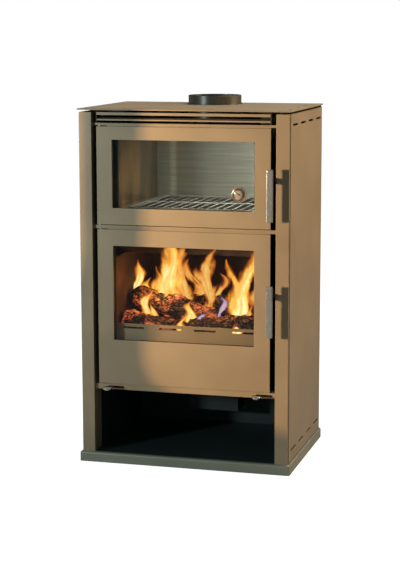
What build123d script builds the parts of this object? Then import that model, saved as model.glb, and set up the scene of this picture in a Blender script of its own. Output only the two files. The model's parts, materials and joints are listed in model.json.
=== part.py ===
from build123d import *
import os

# Wood burning stove with an oven above the firebox and a log store below it.
# Millimetres. X runs to the right seen from the front, Y to the back, Z up.
# The origin is on the floor, under the middle of the base plate.
# Depths are counted back from the front plane of the posts and doors.

# ---------------------------------------------------------------- driving dimensions
CASING_W = 600.0            # over the two front posts
CASING_D = 437.0            # front plane to the back of the back panel
TOP_Z = 1007.0              # top face of the top plate
TOP_T = 4.0
CASING_TOP = 997.0          # top of posts and side panels
PLINTH_H = 29.0
PLINTH_OUT = 7.0            # plinth in front of and beside the casing
FRONT = -(CASING_D - PLINTH_OUT) / 2.0   # Y of the front plane

SHEET = 4.0                 # posts and door sheet
PANEL_SHEET = 2.5           # side and back panels
BODY_SHEET = 4.0            # welded body sheet
POST_FACE = 37.0
POST_LEG = 58.0             # depth of the post's inner leg
POST_INNER = CASING_W / 2.0 - POST_FACE
PANEL_INNER = CASING_W / 2.0 - 1.5  # inside face of the side panels

DOOR_HALF = 248.5
UPPER_DOOR = (685.0, 958.5)
LOWER_DOOR = (231.4, 671.3)
UPPER_WINDOW = (204.0, 731.5, 921.5)     # half width, bottom, top
LOWER_WINDOW = (203.0, 357.7, 625.5)
DOOR_FRAME_HALF = 236.0
DOOR_FRAME_BACK = 22.0
GLASS_FRONT, GLASS_BACK = 4.5, 8.5
GASKET_HALF, GASKET_W = 222.0, 10.0

HINGE_X, HINGE_DEPTH = -243.0, 14.0      # vertical hinge line of both doors
PIN_R = 4.0
RUNNING = 0.05                           # radial clearance of a turning fit

LEVER_X = 255.0                          # latch lever and handle bar, beside the door edge
LEVER_T = 8.0
UPPER_LEVER_Z, LOWER_LEVER_Z = 819.0, 502.5
KEEPER_DEPTH, KEEPER_UP = 40.0, 8.0      # keeper pin behind the latch pivot

TOP_RAIL = (960.5, 967.0)
MID_RAIL = (672.0, 682.0)
BOTTOM_RAIL = (212.0, 227.5)
RAIL_DEPTH = (12.0, 24.0)
RAIL_LIP = 6.0                           # how far a rail reaches behind a door's edge

FRAME_DEPTH = (30.0, 36.0)               # face frame that the doors close on
BODY_HALF = 241.0
BODY_BACK = 426.0
BODY_FLOOR = (221.0, 226.0)
BODY_ROOF = (955.0, 960.0)
ROOF_FLANGE_TOP = 986.0                  # flanges that steer the warm air to the louvres
HEARTH_SHELF = (315.0, 320.0)

OVEN_HALF, OVEN_BOTTOM, OVEN_TOP, OVEN_BACK = 196.0, 712.0, 932.0, 400.0
RACK_Z, RACK_HALF, RACK_PITCH, RACK_WIRE = 728.0, 172.5, 25.0, 2.0
RACK_DEPTH = (58.0, 388.0)

FIRE_HALF, FIRE_BACK, FIRE_FLOOR, BRICK_TOP = 206.0, 385.0, 350.0, 590.0
BRICK_T = 30.0
ASH_MOUTH = (250.0, 305.0)
FENCE_TOP = 400.0

FLUE_DEPTH = 345.0
FLUE_R, FLUE_WALL, FLUE_TOP = 75.5, 2.0, 1033.0   # socket for a 150 mm flue pipe

SLOT_L, SLOT_H = 62.0, 6.0
SLOT_DEPTHS = (70.0, 172.0, 277.0, 385.0)         # middles of the four vent slots

AIR_KNOB_X, AIR_KNOB_DEPTH, AIR_KNOB_R = 215.5, -25.0, 14.0
AIR_TRAVEL = 30.0
AIR_LEVER_Z = (217.5, 220.5)

THERMO_X, THERMO_Z, THERMO_R = 161.0, 779.0, 20.5

LEFT, RIGHT = -1, 1


# ---------------------------------------------------------------- helpers
def slab(x0, x1, d0, d1, z0, z1):
    """Block between two X values, two depths behind the front plane and two heights."""
    size = Box(abs(x1 - x0), abs(d1 - d0), abs(z1 - z0))
    return Pos((x0 + x1) / 2, FRONT + (d0 + d1) / 2, (z0 + z1) / 2) * size


def side_slab(side, x0, x1, d0, d1, z0, z1):
    """The same block, mirrored to the left when side is -1."""
    return slab(side * x0, side * x1, d0, d1, z0, z1)


def upright(x, depth, z0, z1, radius):
    """Vertical cylinder."""
    return Pos(x, FRONT + depth, (z0 + z1) / 2) * Cylinder(radius, z1 - z0)


def crosswise(x0, x1, depth, z, radius):
    """Cylinder along X."""
    return Pos((x0 + x1) / 2, FRONT + depth, z) * Rot(0, 90, 0) * Cylinder(radius, x1 - x0)


def lengthwise(x, d0, d1, z, radius):
    """Cylinder along Y."""
    return Pos(x, FRONT + (d0 + d1) / 2, z) * Rot(90, 0, 0) * Cylinder(radius, d1 - d0)


def side_profile(points, x0, x1):
    """Outline of (depth, height) points pushed from x0 to x1."""
    face = make_face(Polyline(*[(0, FRONT + d, z) for d, z in points], close=True))
    return Pos(x0, 0, 0) * extrude(face, amount=x1 - x0, dir=(1, 0, 0))


def front_edges(shape):
    """Edges of the face nearest the viewer."""
    return shape.faces().sort_by(Axis.Y)[0].edges()


def save(node, *solids):
    """One STEP file per node; several solids stay a group."""
    shape = solids[0] if len(solids) == 1 else Compound(children=list(solids))
    export_step(shape, f"parts/{node}.step")


# ---------------------------------------------------------------- base and casing
def base():
    out_x = CASING_W / 2 + PLINTH_OUT
    wall = 3.0
    block = slab(-out_x, out_x, -PLINTH_OUT, CASING_D, 0, PLINTH_H)
    block = fillet(block.edges().filter_by(Axis.Z).sort_by(Axis.Y)[:2], 4)
    top = block.faces().sort_by(Axis.Z)[-1]
    block = fillet(top.edges().sort_by(Axis.Y)[:-1], 6)     # the back edge stays square
    inner_x, inner_front, inner_back = out_x - wall, -PLINTH_OUT + wall, CASING_D - wall
    plinth = block - slab(-inner_x, inner_x, inner_front, inner_back, 0, PLINTH_H - wall)
    save("plinth", plinth)

    plate = slab(-inner_x, inner_x, inner_front, inner_back, 0, wall)
    screws = []
    for x in (-250, 250):
        for depth in (50, 380):
            plate -= upright(x, depth, 0, wall, PIN_R)
            shank = upright(x, depth, 0, 15, PIN_R)
            head = Pos(x, FRONT + depth, 15) * extrude(RegularPolygon(7.5, 6), 5)
            screws.append(shank + head)
    save("base_plate", plate)
    save("levelling_screws", *screws)


def posts():
    outer = CASING_W / 2
    for side, name in ((LEFT, "left_post"), (RIGHT, "right_post")):
        face = side_slab(side, POST_INNER, outer, 0, 6, PLINTH_H, CASING_TOP)
        face = fillet(front_edges(face).filter_by(Axis.Z), 1.2)
        leg = side_slab(side, POST_INNER, POST_INNER + SHEET, 6, POST_LEG, PLINTH_H, CASING_TOP)
        save(name, face + leg)


def side_panels():
    inner = PANEL_INNER
    for side, name in ((LEFT, "left_side_panel"), (RIGHT, "right_side_panel")):
        panel = side_slab(side, inner, inner + PANEL_SHEET, 12, CASING_D, PLINTH_H, CASING_TOP)
        panel += side_slab(side, inner - 12, inner, 12, 14, PLINTH_H, CASING_TOP)
        for depth in SLOT_DEPTHS:
            for z in (PLINTH_H + 32, CASING_TOP - 30):
                panel -= side_slab(side, inner - 1, inner + PANEL_SHEET + 1, depth - SLOT_L / 2,
                                   depth + SLOT_L / 2, z - SLOT_H / 2, z + SLOT_H / 2)
        save(name, panel)
    save("back_panel", slab(-inner, inner, CASING_D - PANEL_SHEET, CASING_D, PLINTH_H, TOP_Z - TOP_T))


def top():
    half, bottom = CASING_W / 2 + 4, TOP_Z - TOP_T
    plate = slab(-half, half, -4, CASING_D, bottom, TOP_Z)
    plate = fillet(plate.faces().sort_by(Axis.Z)[-1].edges(), 1)
    plate -= upright(0, FLUE_DEPTH, bottom - 1, TOP_Z + 1, FLUE_R + FLUE_WALL + 5.5)
    for x in (-284, 284):
        for depth in SLOT_DEPTHS:
            plate -= slab(x - 2.5, x + 2.5, depth - 20, depth + 20, bottom - 1, TOP_Z + 1)
    save("top_plate", plate)

    outer = FLUE_R + FLUE_WALL
    collar = upright(0, FLUE_DEPTH, BODY_ROOF[1], FLUE_TOP, outer)
    collar = fillet(collar.faces().sort_by(Axis.Z)[-1].edges(), 1.4)
    collar += upright(0, FLUE_DEPTH, BODY_ROOF[1], BODY_ROOF[1] + 4, outer + 3.5)
    collar -= upright(0, FLUE_DEPTH, BODY_ROOF[1] - 1, FLUE_TOP + 1, FLUE_R)
    save("flue_collar", collar)


def louvres():
    half = 247.0
    upper = [(0.5, 989.5), (0.5, 997), (18, 997), (18, 994.5), (3, 994.5), (3, 989.5)]
    lower = [(0.5, 974.5), (0.5, 978.5), (18, 982), (18, 980), (3, 977), (3, 974.5)]
    save("upper_louvre_blade", side_profile(upper, -half, half))
    save("lower_louvre_blade", side_profile(lower, -half, half))
    ends = []
    for side in (LEFT, RIGHT):
        ends.append(side_slab(side, half, half + 3, 2, 30, 970, 999))
    save("louvre_end_brackets", *ends)


def rails():
    back = RAIL_DEPTH[1]
    lip_left, lip_right = HINGE_X + 21, DOOR_HALF - 3      # clear of the swinging hinge edge
    top_rail = slab(-POST_INNER, POST_INNER, *RAIL_DEPTH, *TOP_RAIL)
    top_rail += slab(lip_left, lip_right, *RAIL_DEPTH, UPPER_DOOR[1] - RAIL_LIP, TOP_RAIL[0])
    save("top_rail", top_rail)
    mid_rail = slab(-POST_INNER, POST_INNER, *RAIL_DEPTH, *MID_RAIL)
    mid_rail += slab(lip_left, lip_right, *RAIL_DEPTH, LOWER_DOOR[1] - RAIL_LIP, MID_RAIL[0])
    save("mid_rail", mid_rail)
    bottom = slab(-POST_INNER, POST_INNER, *RAIL_DEPTH, *BOTTOM_RAIL)
    bottom += slab(lip_left, lip_right, *RAIL_DEPTH, BOTTOM_RAIL[1], LOWER_DOOR[0] + 1.6)
    for x in (-AIR_KNOB_X, AIR_KNOB_X):
        bottom -= slab(x - 8, x + 8 + AIR_TRAVEL, 0, back + 1, AIR_LEVER_Z[0] - 1.5, AIR_LEVER_Z[1] + 1.5)
    save("bottom_rail", bottom)


def wood_store():
    walls = []
    for side in (LEFT, RIGHT):
        walls.append(side_slab(side, POST_INNER, POST_INNER + SHEET, POST_LEG,
                               CASING_D - PANEL_SHEET, PLINTH_H, BODY_FLOOR[0]))
    save("wood_store_walls", *walls)


def brackets():
    parts = []
    roof, underside = BODY_ROOF[1], TOP_Z - TOP_T
    for side in (LEFT, RIGHT):
        for depth in (90, 370):
            parts.append(side_slab(side, 200, 230, depth, depth + 3, roof, underside))
            for z in (300, 880):
                parts.append(side_slab(side, BODY_HALF, PANEL_INNER, depth, depth + 3, z, z + 40))
        for z in (300, 880):
            parts.append(side_slab(side, 150, 153, BODY_BACK, CASING_D - PANEL_SHEET, z, z + 40))
    save("casing_brackets", *parts)


# ---------------------------------------------------------------- welded body
def body():
    front, back = FRAME_DEPTH
    frame = slab(-BODY_HALF, BODY_HALF, front, back, BODY_FLOOR[0], BODY_ROOF[1])
    frame -= slab(-OVEN_HALF, OVEN_HALF, front - 1, back + 1, OVEN_BOTTOM + 9, OVEN_TOP)
    frame -= slab(-FIRE_HALF, FIRE_HALF, front - 1, back + 1, FIRE_FLOOR, 632)
    frame -= slab(-158, 158, front - 1, back + 1, *ASH_MOUTH)
    save("front_frame", frame)

    inner = BODY_HALF - BODY_SHEET
    wrap_floor, wrap_roof = BODY_FLOOR[1], BODY_ROOF[0]
    shell = slab(-BODY_HALF, BODY_HALF, back, BODY_BACK, wrap_floor, wrap_roof)
    shell -= slab(-inner, inner, back - 1, BODY_BACK - BODY_SHEET, wrap_floor - 1, wrap_roof + 1)
    save("body_shell", shell)

    floor = slab(-BODY_HALF, BODY_HALF, back, POST_LEG, *BODY_FLOOR)
    wing = POST_INNER + SHEET
    floor += slab(-wing, wing, POST_LEG, BODY_BACK, *BODY_FLOOR)
    for x in (-AIR_KNOB_X, AIR_KNOB_X):
        floor -= upright(x + AIR_TRAVEL / 2, 80, BODY_FLOOR[0] - 1, BODY_FLOOR[1] + 1, 10)
    save("body_floor", floor)

    roof = slab(-BODY_HALF, BODY_HALF, back, BODY_BACK, *BODY_ROOF)
    roof -= upright(0, FLUE_DEPTH, BODY_ROOF[0] - 1, BODY_ROOF[1] + 1, FLUE_R)
    for side in (LEFT, RIGHT):
        roof += side_slab(side, inner, BODY_HALF, back, BODY_BACK, BODY_ROOF[1], ROOF_FLANGE_TOP)
    save("body_roof", roof)

    shelf = slab(-inner, inner, back, BODY_BACK - BODY_SHEET, *HEARTH_SHELF)
    shelf -= slab(-90, 90, 130, 270, HEARTH_SHELF[0] - 1, HEARTH_SHELF[1] + 1)
    save("hearth_shelf", shelf)

    duct = slab(-75, 75, 330, 400, 90, BODY_FLOOR[0]) - slab(-73, 73, 332, 398, 89, BODY_FLOOR[0] - 2)
    save("air_intake_box", duct)


def firebox():
    front = FRAME_DEPTH[1]
    outer = FIRE_HALF + BRICK_T
    bottom = HEARTH_SHELF[1]
    for side, name in ((LEFT, "left_fire_brick"), (RIGHT, "right_fire_brick")):
        save(name, side_slab(side, FIRE_HALF, outer, front, FIRE_BACK, FIRE_FLOOR, BRICK_TOP))
    save("back_fire_brick", slab(-outer, outer, FIRE_BACK, FIRE_BACK + BRICK_T, FIRE_FLOOR, BRICK_TOP))

    hearth = slab(-outer, outer, front, FIRE_BACK + BRICK_T, bottom, FIRE_FLOOR)
    hearth -= slab(-110, 110, 110, 290, FIRE_FLOOR - 14, FIRE_FLOOR + 1)
    hearth -= slab(-90, 90, 130, 270, bottom - 1, FIRE_FLOOR)
    save("hearth_bricks", hearth)

    grate = slab(-109, 109, 111, 289, FIRE_FLOOR - 14, FIRE_FLOOR)
    for row in range(7):
        x = -78 + 26 * row
        grate -= slab(x - 5, x + 5, 132, 268, FIRE_FLOOR - 15, FIRE_FLOOR + 1)
    save("fire_grate", grate)

    save("baffle", slab(-outer, outer, 130, FIRE_BACK + BRICK_T, BRICK_TOP, BRICK_TOP + 22))

    fence_half = FIRE_HALF - 1
    fence = slab(-fence_half, fence_half, 31, 35, FIRE_FLOOR, FENCE_TOP)
    for x, half in ((-155, 31), (-47, 33), (54, 32), (162, 33)):
        fence -= slab(x - half, x + half, 30, 36, FENCE_TOP - 14, FENCE_TOP - 8)
    save("log_fence", fence)

    bottom, rim = ASH_MOUTH[0] + 1, ASH_MOUTH[1] - 3
    pan = slab(-150, 150, 42, 330, bottom, rim)
    pan -= slab(-148, 148, 44, 328, bottom + 2, rim + 1)
    grip = slab(-50, 50, 38, 42, bottom + 16, bottom + 30)
    save("ash_pan", pan + grip)
    runners = []
    for side in (LEFT, RIGHT):
        runners.append(side_slab(side, 140, 144, front + 4, 330, BODY_FLOOR[1], bottom))
    save("ash_pan_runners", *runners)


def oven():
    front = FRAME_DEPTH[1]
    wall = 2.0
    liner = slab(-OVEN_HALF - wall, OVEN_HALF + wall, front, OVEN_BACK + wall,
                 OVEN_BOTTOM - wall, OVEN_TOP + wall)
    liner -= slab(-OVEN_HALF, OVEN_HALF, front - 1, OVEN_BACK, OVEN_BOTTOM, OVEN_TOP)
    save("oven_liner", liner)

    seat = RACK_Z - RACK_WIRE - 0.5
    runners = []
    for side in (LEFT, RIGHT):
        leg = side_slab(side, OVEN_HALF - 2, OVEN_HALF, 50, 390, OVEN_BOTTOM + 4, seat)
        ledge = side_slab(side, RACK_HALF - 8, OVEN_HALF, 50, 390, seat - 2, seat)
        runners.append(leg + ledge)
    save("oven_runners", *runners)

    near, far = RACK_DEPTH
    frame_wire = RACK_WIRE + 0.5
    rack = lengthwise(-RACK_HALF, near, far, RACK_Z, frame_wire)
    rack += lengthwise(RACK_HALF, near, far, RACK_Z, frame_wire)
    for depth in (near, (near + far) / 2, far):
        rack += crosswise(-RACK_HALF - frame_wire, RACK_HALF + frame_wire, depth, RACK_Z, frame_wire)
    wires = int(2 * RACK_HALF / RACK_PITCH)
    for i in range(wires):
        x = (i - (wires - 1) / 2) * RACK_PITCH
        rack += lengthwise(x, near, far, RACK_Z + 1, RACK_WIRE)
    save("oven_rack", rack)


# ---------------------------------------------------------------- air controls
def air_controls():
    z0, z1 = AIR_LEVER_Z
    guides = []
    for x, name in ((-AIR_KNOB_X, "primary_air"), (AIR_KNOB_X, "secondary_air")):
        slide = slab(x - 6, x + 6, AIR_KNOB_DEPTH - 8, 60, z0, z1)
        slide += slab(x - 13, x + 13, 60, 100, z0, z1)
        save(f"{name}_slide", slide)

        disc = upright(x, AIR_KNOB_DEPTH, z1, z1 + 5, AIR_KNOB_R)
        save(f"{name}_knob", fillet(disc.edges(), 1.2))

        left, right = x - 17, x + 17 + AIR_TRAVEL
        strap = slab(left, right, 72, 88, z0 - 3, BODY_FLOOR[0])
        strap -= slab(left + 3, right - 3, 71, 89, z0 - 0.3, BODY_FLOOR[0] + 1)
        guides.append(strap)
    save("air_slide_guides", *guides)


# ---------------------------------------------------------------- doors
def hinge_pins():
    pins = []
    for z0, z1, shoulder in ((UPPER_DOOR[1] - 14.5, TOP_RAIL[0], None),
                             (MID_RAIL[1], UPPER_DOOR[0] + 15, 690.0),
                             (LOWER_DOOR[1] - 14.3, MID_RAIL[0], None),
                             (BOTTOM_RAIL[1], LOWER_DOOR[0] + 15, 236.0)):
        pin = upright(HINGE_X, HINGE_DEPTH, z0, z1, PIN_R)
        if shoulder:
            pin += upright(HINGE_X, HINGE_DEPTH, z0, shoulder - 0.1, PIN_R + 3)
        pins.append(pin)
    save("hinge_pins", *pins)


def keepers():
    pins = []
    for z in (UPPER_LEVER_Z, LOWER_LEVER_Z):
        pins.append(crosswise(249.5, POST_INNER, KEEPER_DEPTH, z + KEEPER_UP, 4))
    save("latch_keepers", *pins)


def door_panel(name, span, window):
    """Front sheet of a door with its window opening."""
    half, low, high = window
    panel = slab(-DOOR_HALF, DOOR_HALF, 0, SHEET, *span)
    panel -= slab(-half, half, -1, SHEET + 1, low, high)
    save(f"{name}_door_panel", fillet(front_edges(panel), 0.8))


def hinge_lug(z0, z1):
    """Plate that joins the door frame to the hinge pin."""
    lug = upright(HINGE_X, HINGE_DEPTH, z0, z1, 8)
    return lug + slab(HINGE_X, -DOOR_FRAME_HALF, HINGE_DEPTH - 8, HINGE_DEPTH + 8, z0, z1)


def door_frame(name, span, window, lugs, pocket=None):
    """Inner frame that carries the glass, the rope gasket and the hinge lugs."""
    half, low, high = window
    frame = slab(-DOOR_FRAME_HALF, DOOR_FRAME_HALF, SHEET, DOOR_FRAME_BACK, span[0] + 4, span[1] - 9)
    frame -= slab(-half - 2, half + 2, 0, DOOR_FRAME_BACK + 1, low - 2, high + 2)
    frame -= slab(-half - 10, half + 10, 0, GLASS_BACK + 0.5, low - 10, high + 10)
    if pocket:
        frame -= slab(-half - 2, half + 2, 0, DOOR_FRAME_BACK + 1, *pocket)
    frame -= gasket_ring(span, window, DOOR_FRAME_BACK - 3, DOOR_FRAME_BACK + 1)
    for z0, z1 in lugs:
        frame += hinge_lug(z0, z1)
        frame -= upright(HINGE_X, HINGE_DEPTH, z0 - 1, z1 + 1, PIN_R + RUNNING)
    save(f"{name}_door_frame", frame)


def gasket_ring(span, window, d0, d1):
    """Square ring around everything that the door seals."""
    half = GASKET_W / 2
    low, high = gasket_heights(span, window)
    ring = slab(-GASKET_HALF - half, GASKET_HALF + half, d0, d1, low - half, high + half)
    return ring - slab(-GASKET_HALF + half, GASKET_HALF - half, d0 - 1, d1 + 1, low + half, high - half)


def gasket_heights(span, window):
    """Middle lines of the gasket's lower and upper runs."""
    return span[0] + 11 if window is LOWER_WINDOW else window[1] - 16, window[2] + 20


def glass(name, window, hole=None):
    half, low, high = window
    pane = slab(-half - 9, half + 9, GLASS_FRONT, GLASS_BACK, low - 9, high + 9)
    if hole:
        pane -= lengthwise(hole[0], GLASS_FRONT - 1, GLASS_BACK + 1, hole[1], hole[2])
    save(f"{name}_door_glass", pane)


def latch(name, z):
    """Lift latch: pivot bolt on the door, lever through the gap, upright handle bar."""
    pivot = crosswise(DOOR_FRAME_HALF, LEVER_X - LEVER_T / 2 - 0.3, HINGE_DEPTH, z, 8)
    pivot += crosswise(DOOR_FRAME_HALF, LEVER_X + LEVER_T / 2 + 0.3, HINGE_DEPTH, z, PIN_R)
    pivot += crosswise(LEVER_X + LEVER_T / 2 + 0.3, LEVER_X + 6.0, HINGE_DEPTH, z, 6.5)
    save(f"{name}_latch_pivot", pivot)

    tooth = KEEPER_UP - 4 - 0.3
    outline = [(-38, 8), (24, 8), (33, -1), (45, -1), (46.5, tooth), (51, tooth), (54, -8), (-38, -8)]
    lever = side_profile([(d, z + up) for d, up in outline], LEVER_X - LEVER_T / 2, LEVER_X + LEVER_T / 2)
    lever -= crosswise(LEVER_X - LEVER_T, LEVER_X + LEVER_T, HINGE_DEPTH, z, PIN_R + RUNNING)
    save(f"{name}_latch_lever", lever)

    bar = slab(LEVER_X - 8.75, LEVER_X + 8.75, -45, -38, z - 108.5, z + 33)
    save(f"{name}_handle_bar", fillet(front_edges(bar), 2))


def doors():
    hinge_pins()
    keepers()
    door_panel("upper", UPPER_DOOR, UPPER_WINDOW)
    door_panel("lower", LOWER_DOOR, LOWER_WINDOW)
    door_frame("upper", UPPER_DOOR, UPPER_WINDOW, ((690, 697), (946, 949.4)))
    door_frame("lower", LOWER_DOOR, LOWER_WINDOW, ((240.4, 246), (655, 662)), pocket=(272, 340))
    glass("upper", UPPER_WINDOW, hole=(THERMO_X, THERMO_Z, 4.5))
    glass("lower", LOWER_WINDOW)
    for name, span, window in (("upper", UPPER_DOOR, UPPER_WINDOW), ("lower", LOWER_DOOR, LOWER_WINDOW)):
        save(f"{name}_door_gasket", gasket_ring(span, window, DOOR_FRAME_BACK - 3, FRAME_DEPTH[0] - 0.2))
    latch("upper", UPPER_LEVER_Z)
    latch("lower", LOWER_LEVER_Z)


def thermometer():
    bezel = lengthwise(THERMO_X, -6, GLASS_FRONT, THERMO_Z, THERMO_R)
    bezel = fillet(front_edges(bezel), 2)
    bezel -= lengthwise(THERMO_X, -7, -2, THERMO_Z, THERMO_R - 3.5)
    save("thermometer_case", bezel)
    save("thermometer_dial", lengthwise(THERMO_X, -3, -2, THERMO_Z, THERMO_R - 4))
    stem = lengthwise(THERMO_X, GLASS_FRONT, 27, THERMO_Z, 3)
    stem += lengthwise(THERMO_X, GLASS_BACK + 0.2, GLASS_BACK + 4, THERMO_Z, 8)
    save("thermometer_stem", stem)


os.makedirs("parts", exist_ok=True)
base()
posts()
side_panels()
top()
louvres()
rails()
wood_store()
brackets()
body()
firebox()
oven()
air_controls()
doors()
thermometer()
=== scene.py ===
# %% [markdown]
# # A wood burning stove with an oven
# The steel body of the stove is already built to size. This lesson loads it, gives every part a real finish,
# and adds what the steel parts leave out: burning logs, flames, rope seals, a thermometer face and screws.
# Everything is in metres: X to the right, Y to the back, Z up, with the origin on the floor.

# %% Load the frame
import json
import math

import bpy
import numpy as np
from mathutils import Matrix, Vector


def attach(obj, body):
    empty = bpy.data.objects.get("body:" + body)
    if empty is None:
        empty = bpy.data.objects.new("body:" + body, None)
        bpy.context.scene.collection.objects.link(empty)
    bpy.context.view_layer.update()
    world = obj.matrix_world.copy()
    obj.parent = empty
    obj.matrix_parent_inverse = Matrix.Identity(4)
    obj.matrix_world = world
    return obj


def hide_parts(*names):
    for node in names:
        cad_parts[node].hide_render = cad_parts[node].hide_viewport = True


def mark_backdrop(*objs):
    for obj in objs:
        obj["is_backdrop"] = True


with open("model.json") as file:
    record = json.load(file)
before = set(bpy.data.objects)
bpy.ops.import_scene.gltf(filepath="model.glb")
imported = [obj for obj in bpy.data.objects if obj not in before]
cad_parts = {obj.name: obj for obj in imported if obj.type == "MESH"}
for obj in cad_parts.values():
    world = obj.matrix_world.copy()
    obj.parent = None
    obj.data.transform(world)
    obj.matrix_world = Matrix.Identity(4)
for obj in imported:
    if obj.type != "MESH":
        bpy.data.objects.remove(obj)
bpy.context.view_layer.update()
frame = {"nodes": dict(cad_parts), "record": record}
nodes = frame["nodes"]
print("parts in the frame:", len(nodes))

# %% [markdown]
# ## Measuring the frame
# New pieces have to fit the steel to a fraction of a millimetre, so their places are measured on the parts
# they touch. The most useful plane is the front of the doors, and depths are counted from it.


# %% Box of a part
def box(name):
    """Lowest and highest corner of a part of the frame."""
    vertices = nodes[name].data.vertices
    points = np.empty(3 * len(vertices), dtype=np.float32)
    vertices.foreach_get("co", points)
    points = points.reshape(-1, 3).astype(float)
    return points.min(axis=0), points.max(axis=0)


FRONT = float(box("upper_door_panel")[0][1])
print("the doors' front plane is at Y =", round(FRONT, 4))

# %% [markdown]
# ## Building surfaces from numbers
# Every new piece is a sheet of points: a grid with two directions, rolled up or left flat.
# One helper turns such a grid into a mesh. Working with whole arrays is fast, and the shape stays a formula.


# %% Grid to mesh
def surface(name, points, around=False, along=False, uv=False, capped=False):
    """Mesh of a (rows, columns, 3) grid of points; around closes the columns, along closes the rows.
    capped adds a middle point at each end. A rolled-up shape gets its faces turned outward."""
    rows, columns = points.shape[:2]
    index = np.arange(rows * columns).reshape(rows, columns)
    if around:
        index = np.concatenate([index, index[:, :1]], axis=1)
    if along:
        index = np.concatenate([index, index[:1]], axis=0)
    corners = np.stack([index[:-1, :-1], index[:-1, 1:], index[1:, 1:], index[1:, :-1]], axis=-1)
    faces = corners.reshape(-1, 4)
    cloud = points.reshape(-1, 3)
    fans = []
    if capped:
        cloud = np.concatenate([cloud, points[[0, -1]].mean(axis=1)])
        for end, row in ((0, index[0]), (1, index[-1, ::-1])):
            hub = np.full(len(row) - 1, rows * columns + end)
            fans += np.stack([hub, row[1:], row[:-1]], axis=-1).tolist()
    mesh = bpy.data.meshes.new(name)
    mesh.from_pydata(cloud.tolist(), [], faces.tolist() + fans)
    first, second, third = (cloud[faces[:, i]] for i in range(3))
    out, normal = first - cloud.mean(axis=0), np.cross(second - first, third - first)
    if around and np.einsum("ij,ij->i", out, normal).sum() < 0:
        mesh.flip_normals()
    if uv:
        across, up = np.meshgrid(np.linspace(0, 1, columns), np.linspace(0, 1, rows))
        chart = np.stack([across, up], axis=-1).reshape(-1, 2)
        layer = mesh.uv_layers.new(name="UVMap")
        layer.data.foreach_set("uv", chart[faces.ravel()].astype(np.float32).ravel())
    mesh.shade_smooth()
    piece = bpy.data.objects.new(name, mesh)
    bpy.context.scene.collection.objects.link(piece)
    return piece


def tube(name, path, radius, sides=12, closed=False, reference=(0.0, 1.0, 0.0)):
    """Tube: a circle of the given radius carried along the path, square to its direction at each point."""
    ahead = np.roll(path, -1, axis=0) - np.roll(path, 1, axis=0)
    if not closed:
        ahead[0], ahead[-1] = path[1] - path[0], path[-1] - path[-2]
    ahead /= np.linalg.norm(ahead, axis=1, keepdims=True)
    side = np.cross(ahead, reference)
    side /= np.linalg.norm(side, axis=1, keepdims=True)
    up = np.cross(side, ahead)
    angle = np.linspace(0, 2 * np.pi, sides, endpoint=False)
    size = np.broadcast_to(radius, (len(path), sides))[..., None]
    ring = side[:, None] * np.cos(angle)[None, :, None] + up[:, None] * np.sin(angle)[None, :, None]
    return surface(name, path[:, None] + size * ring, around=True, along=closed, capped=not closed)


def on_body(piece, body, material, slot=None, *hidden):
    """The piece gets its material and moves with a body. The slot argument is not used. The piece stands for
    the hidden parts, if any."""
    piece.data.materials.append(material)
    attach(piece, body)
    if hidden:
        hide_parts(*hidden)
    return piece


print("surface and tube helpers are ready")

# %% [markdown]
# ## Node helpers
# Each finish is a small node tree on Object coordinates, so a pattern keeps its real scale on every part.
# Values that never change over a surface sit on the shader's own sockets.


# %% Materials and nodes
def finish(name, base, roughness, metallic=0.0):
    """New material with a Principled shader and plain starting values."""
    material = bpy.data.materials.new(name)
    material.use_nodes = True
    shader = material.node_tree.nodes["Principled BSDF"]
    shader.inputs["Base Color"].default_value = (*base, 1)
    shader.inputs["Roughness"].default_value = roughness
    shader.inputs["Metallic"].default_value = metallic
    return material, material.node_tree, shader


def add(tree, kind, links=(), **values):
    """New node; links are (socket, source) pairs and values are settings of its inputs or of the node."""
    made = tree.nodes.new("ShaderNode" + kind)
    for key, value in values.items():
        label = key.replace("_", " ")
        if label in made.inputs:
            made.inputs[label].default_value = value
        else:
            setattr(made, key, value)
    for socket, source in links:
        tree.links.new(source, made.inputs[socket])
    return made


def bare(name):
    """New material whose surface is left to be linked, and its tree."""
    material = bpy.data.materials.new(name)
    material.use_nodes = True
    tree = material.node_tree
    tree.nodes.remove(tree.nodes["Principled BSDF"])
    return material, tree


def to_surface(tree, made):
    """Links a node's shader to the material's surface."""
    tree.links.new(made.outputs[0], tree.nodes["Material Output"].inputs["Surface"])


def feed(tree, socket, value):
    """A number or a colour is set on the socket; anything else is a source and is linked to it."""
    if isinstance(value, tuple):
        socket.default_value = (*value, 1)
    elif isinstance(value, (int, float)):
        socket.default_value = value
    else:
        tree.links.new(value, socket)


print("material and node helpers are ready")

# %% [markdown]
# ## Patterns and arithmetic
# A finish is worked out from a few numbers at each point of the surface: where the point is, how a noise
# falls there, and what sums and steps make of the two. These helpers keep such a formula readable.


# %% Patterns and arithmetic
def parts_of(tree, kind="Object"):
    """The X, Y and Z of a coordinate, as named outputs."""
    return add(tree, "SeparateXYZ", [("Vector", add(tree, "TexCoord").outputs[kind])]).outputs


def place(tree, stretch=(1, 1, 1)):
    """Object coordinates, scaled along each axis."""
    coordinates = add(tree, "TexCoord").outputs["Object"]
    return add(tree, "Mapping", [("Vector", coordinates)], Scale=stretch).outputs["Vector"]


def noise(tree, scale, detail=3.0, stretch=(1, 1, 1)):
    """Noise value between 0 and 1 at so many cells per metre."""
    where = place(tree, stretch)
    return add(tree, "TexNoise", [("Vector", where)], Scale=scale, Detail=detail).outputs["Fac"]


def ramp(tree, source, *stops):
    """Colours laid along a value; a stop is (position, (r, g, b))."""
    made = add(tree, "ValToRGB", [("Fac", source)])
    elements = made.color_ramp.elements
    while len(elements) < len(stops):
        elements.new(0.5)
    for element, (position, colour) in zip(elements, stops):
        element.position = position
        element.color = (*colour, 1)
    return made.outputs["Color"]


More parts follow.
